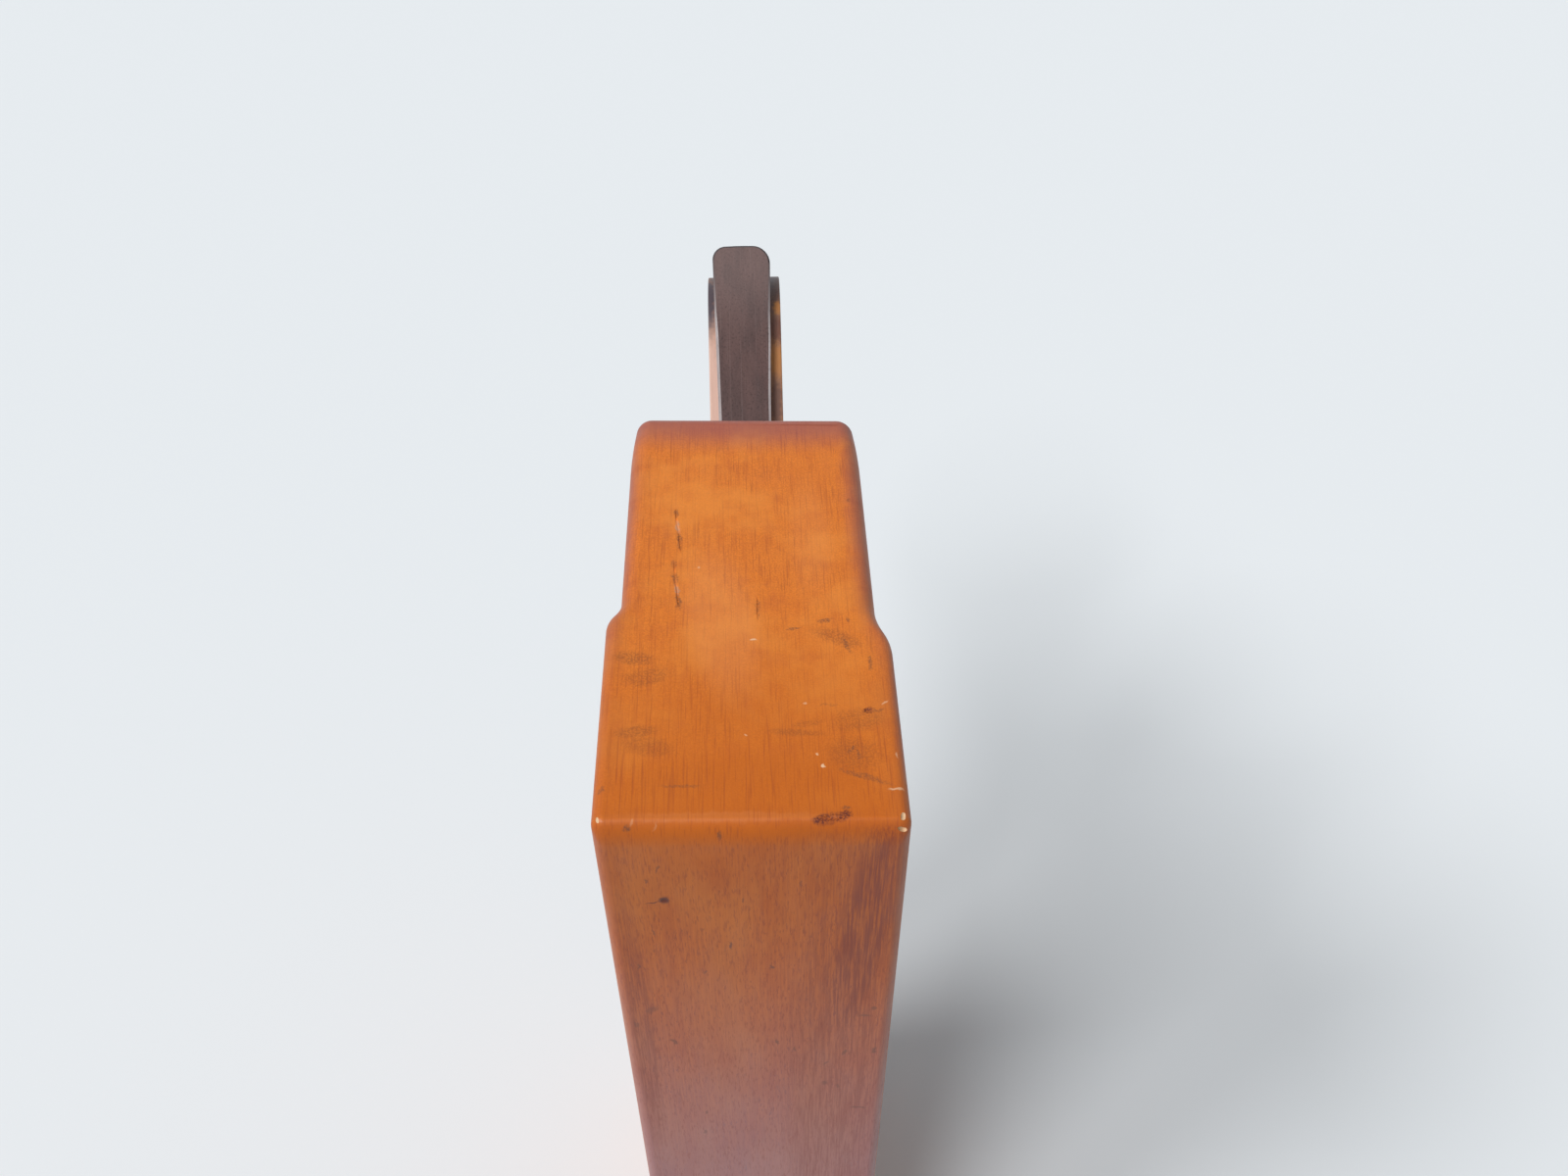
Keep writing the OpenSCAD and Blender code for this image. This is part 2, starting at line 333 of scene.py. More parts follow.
    # height in mm: open fibres, rays slightly sunk, and the slow waves that a hand plane leaves
    waves = grainNoise(tree, spot, (9, 9, 22), 1.0)
    sunkRays = addNode(tree, "Math", {"operation": "MULTIPLY"}, {0: rays, 1: -0.012})
    pores = addNode(tree, "Math", {"operation": "MULTIPLY_ADD"}, {
        0: fibres, 1: look["poreDepth"], 2: sunkRays})
    height = addNode(tree, "Math", {"operation": "MULTIPLY_ADD"}, {0: waves, 1: 0.16, 2: pores})
    bump = addNode(tree, "Bump", None, {"Height": height, "Distance": mm, "Strength": 0.8})
    shader = addNode(tree, "BsdfPrincipled", None, {
        "Base Color": tone, "Roughness": roughness, "Normal": bump, "IOR": 1.5,
        "Specular IOR Level": look["sheen"],
        "Coat Weight": coat, "Coat Roughness": look["coatRoughness"], "Coat IOR": 1.5})
    addNode(tree, "OutputMaterial", None, {"Surface": shader})
    return material


stockForm = {
    "lowerHalf": 21.0, "gripHalf": 19.1, "heelFall": 0.031,  # heelFall is mm per mm
    "rightShoulder": 35.6, "rightRun": 9.4, "leftShoulder": 39.2, "leftRun": 6.0,
    "narrowFrom": -10.5, "narrowTo": -0.5,  # between these heights the worn arrises move in to the grip
    "soleRound": 1.9, "soleRunOut": 2.7, "topRound": 2.8, "gripEase": 0.55, "gripEaseRun": 11.0,
    "endRoundLow": 1.75, "endRoundGrip": 2.95,
    "mortiseMiddle": 0.3, "mortiseWidth": 16.3, "mortiseStart": 13.0, "mortiseFloor": 3.65, "taper": 10.0,
    "slotDepth": 3.8, "slotTop": 49.0,
    "eyeHeight": 26.5, "eyeFromHeel": 148.7, "eyeWide": 16.0, "eyeNarrow": 12.5, "eyeRim": 0.8,
    "mouthFront": 156.4, "throatTop": 20.25, "throatLean": 10.0,
    "cutHalf": 22.5,  # cuts that go right across run past both sides
}


def heelAt(x):
    # the heel was sawn a little out of square: it falls 1.3 mm from the left side to the right
    return heelZ - stockForm["heelFall"] * (x - stockLow.x)


def heelMark(x, y, long, wide, turn, strength, deep=None):
    # small marks stay on the face, broad ones go over its arrises, unless their depth is given
    deep = deep or (1.5 if max(long, wide) < 12 else 9.0)
    return (x, y, heelAt(x), long / 2, wide / 2, deep, (0, 0, turn), strength)


def soleMark(x, z, long, wide, turn, strength):
    # long runs along the stock, and turn swings it about the sole's own normal
    return (x, soleY, z, wide / 2, 1.5, long / 2, (0, turn, 0), strength)


def bedMark(x, off, up, halfWide, halfDeep, halfLong, strength):
    # for the pieces that lie on the bed
    return (x, off, up, halfWide, halfDeep, halfLong, (0, 0, 0), strength)


# Marks that run over the arris between heel and sole stand in both materials of the stock
lowHeel = [
    heelMark(0.0, -40.0, 64.0, 30.0, 0, 0.7, 4.0),
    heelMark(0.0, -48.0, 80.0, 90.0, 0, 0.5, 4.0),
]
# brighter and more orange at the top of the sole, by the heel
brighterSoleTop = [soleMark(-5.5, 241.0, 26.0, 30.0, 0, 0.45)]
arrisKnock = soleMark(-4.2, 238.4, 2.2, 0.7, 0, 0.65)
# darker grime beside the arrises; its mauve tint is a painted reflection of blue surroundings on the
# rounded arrises
arrisGrimeAndReflection = [
    heelMark(0.0, 44.4, 110.0, 23.5, 0, 0.68),
    heelMark(20.5, 20.0, 11.0, 76.0, 0, 0.4),
    heelMark(-21.0, 18.0, 8.0, 70.0, 0, 0.5),
    heelMark(23.0, -20.0, 7.0, 54.0, 0, 0.4),
]
darkRuns = [
    soleMark(12.6, 160.0, 180.0, 19.0, 0, 0.5),
    soleMark(15.4, 212.0, 74.0, 9.5, 5, 0.95),
    soleMark(-18.0, 185.0, 90.0, 5.0, 0, 0.5),
]
heelZones = {
    # the heel is yellower towards the sole and the top of the sole is brighter; the pale marks are where it
    # was rubbed, and the last of them is a painted highlight along the sole arris
    "#bd5c00": lowHeel,
    "#d06a10": brighterSoleTop,
    "#ec9a5c": [
        heelMark(-4.0, -6.0, 13.0, 36.0, 8, 0.22),
        heelMark(10.0, 12.0, 8.0, 30.0, 0, 0.12),
        # painted highlight: a pale line along the heel's sole arris, where it catches the light
        heelMark(-4.0, -41.1, 36.0, 1.7, 0, 0.14),
    ],
    # grime that hands left beside the arrises, tinted mauve: the tint is a painted reflection of blue
    # surroundings on their rounds
    "#8a4a50": arrisGrimeAndReflection,
}
heelBruises = {
    "#86391f": darkRuns,
    # broad soft smudges: oil and dust that went into the end grain
    "#7a3f1c": [
        heelMark(-16.5, -13.5, 7.5, 3.0, -8, 0.5),
        heelMark(-14.5, -17.0, 8.0, 4.0, 12, 0.36),
        heelMark(-15.8, -27.0, 7.0, 2.6, 6, 0.46),
        heelMark(-14.0, -29.5, 9.0, 4.0, -10, 0.32),
        heelMark(15.0, -25.0, 9.0, 5.0, 8, 0.34),
        heelMark(14.0, -31.0, 9.0, 7.0, -10, 0.34),
        heelMark(6.4, -27.2, 9.0, 1.6, -4, 0.36),
        heelMark(8.0, -25.6, 5.0, 1.4, 10, 0.3),
        heelMark(13.0, -9.5, 9.0, 3.4, -24, 0.4),
    ],
    # grey-brown bruises
    "#5f3c2b": [
        heelMark(-11.1, 17.4, 0.9, 2.4, 0, 0.55),
        heelMark(-10.5, 11.0, 1.1, 4.6, 5, 0.7),
        heelMark(-11.2, 6.0, 1.2, 2.4, 0, 0.4),
        heelMark(-10.9, 2.7, 1.3, 3.0, 6, 0.6),
        heelMark(-10.4, -2.0, 1.1, 4.2, 6, 0.7),
        heelMark(1.4, -3.4, 0.8, 5.4, 2, 0.55),
        heelMark(11.3, -6.1, 2.6, 0.9, 12, 0.75),
        heelMark(6.7, -7.7, 2.8, 0.6, 12, 0.65),
        heelMark(14.8, -5.8, 0.7, 1.4, 30, 0.5),
        heelMark(14.2, -10.8, 4.4, 0.8, -68, 0.6),
        heelMark(17.4, -14.4, 0.8, 3.4, 0, 0.7),
        heelMark(11.0, -22.3, 3.0, 0.5, 0, 0.3),
        heelMark(17.7, -23.3, 3.0, 0.8, 5, 0.45),
        heelMark(13.8, -30.2, 2.2, 0.6, 40, 0.65),
        heelMark(14.6, -31.0, 0.7, 2.2, 14, 0.65),
        heelMark(15.2, -34.8, 8.6, 1.1, -20, 0.5),
        heelMark(12.5, -39.9, 1.5, 0.9, 0, 0.6),
        heelMark(-9.5, -36.2, 6.4, 0.7, 0, 0.42),
        heelMark(-19.8, -36.8, 0.8, 1.6, 0, 0.55),
        heelMark(19.0, 12.2, 0.8, 2.4, 0, 0.65),
        heelMark(16.6, 20.7, 0.8, 1.3, 0, 0.55),
        soleMark(-16.2, 240.0, 1.6, 1.5, 20, 0.8),
        arrisKnock,
    ],
    # torn fibres inside the two long bruises, pale down their middles, which also paints the highlight
    # there
    "#b39480": [
        heelMark(-10.8, 14.4, 0.9, 3.2, 8, 0.6),
        heelMark(-10.65, 0.4, 0.9, 2.8, 8, 0.65),
    ],
    # dark dust in the deepest knocks
    "#5b2014": [
        heelMark(16.5, -23.3, 1.6, 1.3, 20, 0.95),
        heelMark(8.9, -41.7, 2.8, 1.6, 0, 0.95),
        heelMark(10.4, -41.4, 5.0, 1.8, 6, 0.8),
        heelMark(12.2, -41.0, 2.4, 1.6, 10, 0.95),
    ],
}
heelChips = {
    # dry scratches and chips that cut through the varnish
    "#edc49c": [
        heelMark(0.8, -9.9, 1.1, 0.45, 0, 0.8),
        heelMark(9.1, -30.9, 0.5, 0.5, 0, 0.7),
        heelMark(9.8, -32.9, 0.7, 0.7, 0, 0.9),
        heelMark(-7.4, 5.0, 0.6, 0.5, 0, 0.4),
        heelMark(-0.6, -27.7, 0.4, 0.6, 0, 0.5),
        heelMark(7.7, -22.1, 0.4, 0.6, 0, 0.45),
        heelMark(19.0, -21.8, 1.6, 0.35, 40, 0.45),
        heelMark(19.3, -36.9, 2.6, 0.5, 4, 0.6),
        heelMark(19.9, -31.2, 0.5, 1.2, 0, 0.45),
        heelMark(-15.6, -41.6, 0.5, 1.2, -20, 0.2),
        heelMark(-12.6, -42.2, 0.5, 1.5, -24, 0.22),
    ],
}
# the mauve arris colour here is grime with a painted reflection, as on the heel
soleZones = {"#bd5c00": lowHeel, "#d06a10": brighterSoleTop, "#8a4a50": arrisGrimeAndReflection}
soleBruises = {"#86391f": darkRuns}
soleSpecks = {
    # small dark knocks and the ends of pores
    "#5f3628": [
        arrisKnock,
        soleMark(-12.8, 231.4, 2.4, 0.45, 10, 0.5),
        soleMark(-14.4, 228.5, 1.5, 0.5, 0, 0.55),
        soleMark(-14.4, 215.5, 1.8, 0.4, 0, 0.5),
        soleMark(-3.5, 211.6, 2.4, 0.5, 3, 0.75),
        soleMark(2.4, 205.2, 1.5, 0.6, -20, 0.7),
        soleMark(-7.4, 204.2, 1.3, 0.6, 10, 0.5),
        soleMark(-17.2, 206.4, 1.6, 0.5, 0, 0.6),
        soleMark(-1.5, 223.2, 1.5, 0.5, 0, 0.5),
        soleMark(15.8, 237.0, 2.4, 0.4, 0, 0.4),
        soleMark(6.4, 227.0, 2.2, 0.5, 0, 0.4),
        soleMark(17.9, 192.0, 1.4, 0.9, 0, 0.55),
        soleMark(16.6, 189.9, 1.0, 2.4, 10, 0.5),
        soleMark(-16.0, 193.6, 3.0, 1.8, 40, 0.35),
        soleMark(-18.8, 189.0, 2.0, 1.2, 0, 0.4),
        soleMark(3.0, 182.2, 1.8, 0.7, -10, 0.6),
        soleMark(-13.3, 183.3, 2.4, 0.9, -24, 0.6),
        soleMark(5.6, 179.7, 1.6, 0.6, 0, 0.5),
        soleMark(13.8, 178.0, 2.2, 0.7, 20, 0.55),
        soleMark(18.6, 178.4, 2.4, 0.8, 0, 0.6),
        soleMark(10.8, 174.5, 1.9, 0.6, 30, 0.5),
        soleMark(10.6, 167.5, 1.6, 1.2, 0, 0.5),
        soleMark(12.9, 166.2, 1.6, 0.8, 0, 0.45),
        soleMark(-9.1, 157.9, 1.6, 0.7, 0, 0.5),
        soleMark(-9.7, 150.3, 1.6, 0.7, 0, 0.45),
        soleMark(16.7, 158.0, 0.7, 3.4, 10, 0.5),
    ],
}
soleNick = {
    # one deep nick with dark dust in it, and the scratch that leads to it
    "#4a1c1c": [
        soleMark(-12.4, 223.8, 2.4, 1.6, 0, 0.9),
        soleMark(-13.9, 223.3, 0.35, 2.6, -10, 0.8),
    ],
}

# What all the beech here shares, unless a look says otherwise
commonBeech = {
    "pith": (2, 165), "ringLean": 0.02, "ringSpacing": 3.4, "ringWander": 6.0,
    "fleck": "#4a2a18", "fleckStrength": 0.3, "sheen": 0.3, "coat": 0.0, "coatRoughness": 0.3,
}
# Beech under an old shellac varnish, rubbed thin: warm orange, half gloss
varnishedLook = {
    **commonBeech,
    "early": "#e37d24", "late": "#c4621f", "ringStrength": 0.1,
    "ray": "#9a4517", "rayStrength": 0.46, "fibreStrength": 0.42,
    "fleck": "#70300f", "fleckStrength": 0.24,
    "streak": "#c0601f", "streakSize": (0.9, 9, 60), "streakStrength": 0.34,
    "cloud": "#ec9038", "cloudSize": (12, 13, 46), "cloudStrength": 0.5,
    "patch": "#b5562a", "patchStrength": 0.26,
    "handled": "#8c4028", "handledStrength": 0.35,
    "soleTone": "#a04410", "soleStrength": 0.42, "solePolish": 0.26,
    # the grey-violet and its strength paint a reflection of blue surroundings on the sole towards the mouth
    "paintedBlueReflection": "#8d7c96", "paintedBlueReflectionStrength": 0.5, "ragged": 1.1,
    "roughness": (0.42, 0.56), "poreDepth": 0.025, "coat": 0.14, "coatRoughness": 0.25,
}
varnishedBeech = beech("varnishedBeech", {
    **varnishedLook,
    "stains": {"zones": heelZones, "bruises": heelBruises, "chips": heelChips},
})
# The sole is the flat-sawn face, so its rays and flecks show more
varnishedSole = beech("varnishedSole", {
    **varnishedLook,
    "rayStrength": 0.62, "fleckStrength": 0.62, "fibreStrength": 0.5, "streakStrength": 0.26,
    "handledStrength": 0.12,
    "stains": {"zones": soleZones, "bruises": soleBruises, "specks": soleSpecks, "nick": soleNick},
})
# Sawn and chiselled beech inside the cuts, never varnished: dull, with dust and oil in the grain
bareBeech = beech("bareBeech", {
    **commonBeech,
    "early": "#a3744a", "late": "#855634", "ringStrength": 0.5,
    "ray": "#6a4026", "rayStrength": 0.4, "fibreStrength": 0.4,
    "streak": "#7d5434", "streakSize": (1.1, 12, 40), "streakStrength": 0.4,
    "cloud": "#8d6440", "cloudSize": (14, 14, 30), "cloudStrength": 0.5,
    "patch": "#6d4a30", "patchStrength": 0.45,
    "roughness": (0.62, 0.8), "poreDepth": 0.06,
})
# Fresh chips, where varnish and dirt broke off with the wood
freshChip = beech("freshChip", {
    **commonBeech,
    "early": "#e2bd95", "late": "#cf9d6c", "ringStrength": 0.5,
    "ray": "#b58354", "rayStrength": 0.3, "fibreStrength": 0.3,
    "streak": "#cc9c70", "streakSize": (0.5, 1.4, 1.4), "streakStrength": 0.4,
    "cloud": "#ecd0ae", "cloudSize": (2, 2, 2), "cloudStrength": 0.4,
    "patch": "#c49366", "patchStrength": 0.3,
    "roughness": (0.6, 0.75), "poreDepth": 0.05,
})
# The wedge is beech too, only oiled: paler and pinker, black where it is struck, with a painted highlight
# on its left side and painted shade on its right side
wedgeStainsAndPaintedLight = {
    # painted highlight: paler on the left side, which faces the light
    "#e2bdae": [bedMark(-8.0, 4.0, 176.0, 5.0, 7.0, 26.0, 0.75)],
    # painted shade: darker on the right side, where the tang throws its shadow
    "#6b3a2c": [bedMark(7.2, 4.0, 193.4, 3.0, 3.0, 3.6, 0.8)],
    "#6b473c": [bedMark(6.6, 4.0, 177.0, 1.9, 3.0, 6.6, 0.8)],
    # black round the struck head: dirt of striking, with painted shade and a bluish painted reflection
    # where the head rounds away
    "#413a44": [
        bedMark(0.5, 12.0, 203.4, 13.0, 17.0, 14.0, 0.92),
        bedMark(-8.0, 5.0, 202.0, 3.2, 6.0, 12.5, 0.95),
    ],
    # the right arris worn back to the wood
    "#d08a48": [
        bedMark(7.6, 4.0, 198.3, 1.4, 3.0, 2.0, 0.8),
        bedMark(7.0, 4.0, 186.6, 2.0, 3.0, 4.6, 0.85),
    ],
}
oiledBeech = beech("oiledBeech", {
    **commonBeech,
    "early": "#c08a68", "late": "#a06e4c", "ringStrength": 0.6,
    "pith": (-60, 120), "ringSpacing": 2.6, "ringWander": 3.0,
    "ray": "#7c4a30", "rayStrength": 0.35, "fibreStrength": 0.35,
    "streak": "#9a664a", "streakSize": (1.1, 10, 26), "streakStrength": 0.4,
    "cloud": "#ac7858", "cloudSize": (9, 9, 26), "cloudStrength": 0.5,
    "patch": "#74463a", "patchStrength": 0.5,
    "roughness": (0.42, 0.58), "poreDepth": 0.04, "sheen": 0.4, "coat": 0.1,
    "stains": {"handlingAndPaintedLight": wedgeStainsAndPaintedLight}, "ragged": 2.4,
}, tilted=True)


def forgedSteel(name, look):
    # Plain forged steel: a thin brown-black oxide skin with fine pits, worn bright on the arrises
    material, tree = newMaterial(name)
    spot = placeInMm(tree, True)
    axes = addNode(tree, "SeparateXYZ", None, {0: spot})
    speckle = grainNoise(tree, spot, (0.5, 0.5, 0.5), 3.0, 0.65)  # pits of 0.1 mm, drawn 0.5 mm wide
    clouds = grainNoise(tree, spot, (6, 6, 16), 3.0, 0.6)
    scratches = grainNoise(tree, spot, (0.3, 0.3, 18), 2.0, 0.6)  # filing marks of 0.05 mm, drawn wider
    cloudAmount = addNode(tree, "MapRange", softRange, {
        "Value": clouds, "From Min": 0.4, "From Max": 0.65})
    tone = blendColour(tree, cloudAmount, hexColour(look["base"]), hexColour(look["cloud"]))
    speckAmount = addNode(tree, "MapRange", softRange, {
        "Value": speckle, "From Min": 0.52, "From Max": 0.72, "To Max": look["speckle"]})
    tone = blendColour(tree, speckAmount, tone, hexColour(look["pit"]))
    scratchAmount = addNode(tree, "MapRange", softRange, {
        "Value": scratches, "From Min": 0.55, "From Max": 0.75, "To Max": look["scratch"]})
    tone = blendColour(tree, scratchAmount, tone, hexColour(look["bright"]))
    # towards the struck end the bare metal and the oxide skin wear to one grey-brown
    struck = addNode(tree, "MapRange", softRange, {
        "Value": axes.outputs[2], "From Min": look["struckFrom"], "From Max": look["struckTo"],
        "To Max": look["struck"]})
    tone = blendColour(tree, struck, tone, hexColour(look["struckTone"]))
    roughness = addNode(tree, "MapRange", None, {
        "Value": speckle, "From Min": 0.3, "From Max": 0.7,
        "To Min": look["roughness"][0], "To Max": look["roughness"][1]})
    pitHeight = addNode(tree, "Math", {"operation": "MULTIPLY"}, {0: speckle, 1: -0.035})
    height = addNode(tree, "Math", {"operation": "MULTIPLY_ADD"}, {0: clouds, 1: 0.12, 2: pitHeight})
    bump = addNode(tree, "Bump", None, {"Height": height, "Distance": mm, "Strength": 0.7})
    shader = addNode(tree, "BsdfPrincipled", None, {
        "Base Color": tone, "Roughness": roughness, "Normal": bump, "Metallic": look["metallic"]})
    addNode(tree, "OutputMaterial", None, {"Surface": shader})
    return material


# The oxide skin is only part metal to the eye
oxidisedSteel = forgedSteel("oxidisedSteel", {
    "base": "#503a37", "cloud": "#43312f", "pit": "#2a1f1f", "bright": "#8a7875",
    "speckle": 0.6, "scratch": 0.14,
    "struckFrom": 188.0, "struckTo": 208.0, "struckTone": "#8a7875", "struck": 0.24,
    "roughness": (0.46, 0.62), "metallic": 0.55,
})
# Filed chamfers and the ground bevel show the bare metal
rubbedSteel = forgedSteel("rubbedSteel", {
    "base": "#b9aeac", "cloud": "#a29695", "pit": "#6a5c5a", "bright": "#d8d2d0",
    "speckle": 0.45, "scratch": 0.3,
    "struckFrom": 190.0, "struckTo": 208.0, "struckTone": "#5f5150", "struck": 0.95,
    "roughness": (0.3, 0.44), "metallic": 0.9,
})
# The struck end itself is black scale and dust, without any shine
forgeScale = forgedSteel("forgeScale", {
    "base": "#41393a", "cloud": "#342d2e", "pit": "#241f20", "bright": "#5b5152",
    "speckle": 0.6, "scratch": 0.1,
    "struckFrom": 190.0, "struckTo": 208.0, "struckTone": "#4a4142", "struck": 0.5,
    "roughness": (0.7, 0.85), "metallic": 0.1,
})
print("plane: materials made")

# Stock: one block of beech with its cuts and its knocks

def halfOutline(shoulder, run):
    # Right half of the heel outline, from the sole up to the top, seen from the heel
    f = stockForm
    step = f["lowerHalf"] - f["gripHalf"]
    bend = 2 * math.degrees(math.atan(step / run))
    bow = run / 2 / math.sin(math.radians(bend))
    ease = 2 * math.degrees(math.atan(f["gripEase"] / f["gripEaseRun"]))
    easeBow = f["gripEaseRun"] / math.sin(math.radians(ease))
    height = topY - soleY
    topX = f["gripHalf"] - f["gripEase"] - f["topRound"] * math.cos(math.radians(ease))
    topW = height - f["topRound"]
    easeTop = topW + f["topRound"] * math.sin(math.radians(ease))
    low, high = shoulder - run / 2, shoulder + run / 2
    points = arcPoints(f["lowerHalf"] - f["soleRound"], f["soleRound"], f["soleRound"], -90, 0, 8)
    points += arcPoints(f["lowerHalf"] - bow, low, bow, 0, bend, 9)
    points += list(reversed(arcPoints(f["gripHalf"] + bow, high, bow, 180, 180 + bend, 9)))[1:]
    points += arcPoints(f["gripHalf"] - easeBow, easeTop - f["gripEaseRun"], easeBow, 0, ease, 6)
    points += arcPoints(topX, topW, f["topRound"], ease, 90, 10)[1:]
    return [(x, w + soleY) for x, w in points]


def outlineNormals(outline):
    # Outward, square to the outline, long enough that an inset moves each side by the same step
    normals = []
    for i, (x, y) in enumerate(outline):
        (ax, ay), (bx, by) = outline[i - 1], outline[(i + 1) % len(outline)]
        before = Vector((y - ay, ax - x)).normalized()
        after = Vector((by - y, x - bx)).normalized()
        middle = (before + after).normalized()
        normals.append(middle / max(middle.dot(before), 0.5))
    return normals


def stockRings():
    f = stockForm
    outline = halfOutline(f["rightShoulder"], f["rightRun"])
    outline += [(-x, y) for x, y in reversed(halfOutline(f["leftShoulder"], f["leftRun"]))]
    normals = outlineNormals(outline)
    # the ends are rounded more at the grip than at the sole
    more = f["endRoundGrip"] - f["endRoundLow"]
    rounds = [f["endRoundLow"] + more * smooth(-10.0, 2.0, y) for _, y in outline]
    # the sole's heel arris runs out further along the sole, from being dropped and pushed on
    runOuts = [r + f["soleRunOut"] * max(-n.y, 0) ** 2 for r, n in zip(rounds, normals)]
    rings = []
    steps = 9
    for end, sign, alongs in ((lambda x: 0.0, 1, rounds), (heelAt, -1, runOuts)):
        turns = [90 * k / steps for k in range(steps + 1)]
        for turn in (reversed(turns) if sign > 0 else turns):
            lift, pull = math.sin(math.radians(turn)), 1 - math.cos(math.radians(turn))
            rings.append([
                (x - n.x * r * pull, y - n.y * r * pull, end(x) + sign * along * (1 - lift))
                for (x, y), n, r, along in zip(outline, normals, rounds, alongs)])
    return rings


def bedPrism(name, profile, left, right, material):
    # A profile of (off the bed, up the bed) points, counter-clockwise, made from left to right
    return loft(name, [[onBed(x, off, up) for off, up in profile] for x in (left, right)], material)


def mortiseCutter():
    f = stockForm
    slope = math.tan(math.radians(f["taper"]))
    top = 130.0  # clear of the grip
    half = f["mortiseWidth"] / 2
    return bedPrism("mortiseCutter", [
        (0, f["mortiseStart"]), (f["mortiseFloor"], f["mortiseStart"]),
        (f["mortiseFloor"] + (top - f["mortiseStart"]) * slope, top), (0, top)],
        f["mortiseMiddle"] - half, f["mortiseMiddle"] + half, bareBeech)


def mortiseRim():
    # A small chamfer round the mortise where it comes out of the top
    f = stockForm
    slope = math.tan(math.radians(f["taper"]))
    sine, cosine = upBed.y, upBed.z
    frontAtSole = f["mortiseFloor"] - f["mortiseStart"] * slope
    rings = []
    for depth, spread in ((0.7, 0.0), (-0.4, 1.1)):
        rise = topY - soleY - depth
        bedUp = rise / sine
        frontUp = (rise - frontAtSole * cosine) / (sine + slope * cosine)
        back = onBed(0, 0, bedUp).z + spread
        front = onBed(0, f["mortiseFloor"] + (frontUp - f["mortiseStart"]) * slope, frontUp).z - spread
        half = f["mortiseWidth"] / 2 + spread
        y = topY - depth
        rings.append([
            (f["mortiseMiddle"] + sx * half, y, z)
            for sx, z in ((-1, back), (1, back), (1, front), (-1, front))])
    return loft("mortiseRim", rings, bareBeech)


def slotCutter():
    f = stockForm
    below = -9  # clear of the sole
    return bedPrism("slotCutter", [
        (0, below), (f["slotDepth"], below), (f["slotDepth"], f["slotTop"]), (0, f["slotTop"])],
        -f["cutHalf"], f["cutHalf"], bareBeech)


def throatCutter():
    f = stockForm
    lean = math.tan(math.radians(f["throatLean"]))
    top = f["throatTop"]
    behindBed = bedFromHeel - 2 * top
    profile = [
        (behindBed, -1), (f["mouthFront"], -1), (f["mouthFront"], 0),
        (f["mouthFront"] + top * lean, top), (behindBed, top)]
    # the rear of the throat stops at the bed
    clipped = []
    for fromHeel, rise in profile:
        point = Vector((0, rise + soleY, heelZ - fromHeel))
        behind = (point - bedFoot).dot(offBed)
        if behind < 0:
            point.z -= behind / offBed.z
        clipped.append(point)
    sides = (-f["cutHalf"], f["cutHalf"])
    return loft("throatCutter", [[(x, p.y, p.z) for p in clipped] for x in sides], bareBeech)


def eyeCutter():
    # The round opening that clears shavings to the left, cut off flat where it meets the bed
    f = stockForm
    wide, narrow, rim, side = f["eyeWide"], f["eyeNarrow"], f["eyeRim"], f["lowerHalf"]
    # place across the stock and radius there, with a softened rim at both sides
    stations = [
        (-side - 1.0, wide + rim + 1.0), (-side, wide + rim),
        (0.3 - side, wide + rim * 0.4), (1.0 - side, wide),
        (side - 1.0, narrow), (side - 0.3, narrow + rim * 0.4),
        (side, narrow + rim), (side + 1.0, narrow + rim + 1.0)]
    middle = Vector((0, f["eyeHeight"] + soleY, heelZ - f["eyeFromHeel"]))
    rings = []
    for x, radius in stations:
        ring = []
        for i in range(72):
            turn = math.radians(5 * i)
            point = middle + Vector((x, radius * math.cos(turn), radius * math.sin(turn)))
            behind = (point - bedFoot).dot(offBed)
            ring.append(point - offBed * min(behind, 0))
        rings.append(ring)
    return loft("eyeCutter", rings, varnishedBeech)


print("plane: carving the stock")
stockBody = loft("stockBody", stockRings(), varnishedBeech, varnishedSole)
# only the flat sole takes its own finish
for face in stockBody.data.polygons:
    face.material_index = 1 if face.normal.y < -0.999 else 0
carve(stockBody, [mortiseCutter(), slotCutter(), throatCutter(), eyeCutter(), mortiseRim()])


def splitCutter(name, points, widest, depth, material):
    # A split in the heel: widest in the middle, closed at both ends, V-shaped in depth
    rng = random.Random(name)
    rings = []
    steps = 14
    for i in range(steps + 1):
        t = i / steps
        place = t * (len(points) - 1)
        k = min(int(place), len(points) - 2)
        x, y = (a + (b - a) * (place - k) for a, b in zip(points[k], points[k + 1]))
        swell = math.sin(math.pi * (0.02 + 0.96 * t)) ** 0.7
        left, right = (max(widest / 2 * swell * rng.uniform(0.45, 1.15), 0.04) for _ in range(2))
        top = heelAt(x)
        rings.append([(x - left, y, top + 0.12), (x, y, top - depth * swell), (x + right, y, top + 0.12)])
    return loft(name, rings, material)


def gougeCutter(name, place, size, turn, material, seed):
    # A rough pebble that takes a dent or a chip out of a face
    rng = random.Random(seed)
    form = bmesh.new()
    bmesh.ops.create_icosphere(form, subdivisions=2, radius=1)
    swing = Euler(tuple(math.radians(a) for a in turn))
    for vertex in form.verts:
        point = vertex.co * rng.uniform(0.82, 1.12)
        point = Vector((point.x * size[0], point.y * size[1], point.z * size[2]))
        point.rotate(swing)
        vertex.co = (point + Vector(place)) * mm
    mesh = bpy.data.meshes.new(name)
    form.to_mesh(mesh)
    form.free()
    mesh.materials.append(material)
    gouge = bpy.data.objects.new(name, mesh)
    scene.collection.objects.link(gouge)
    return gouge


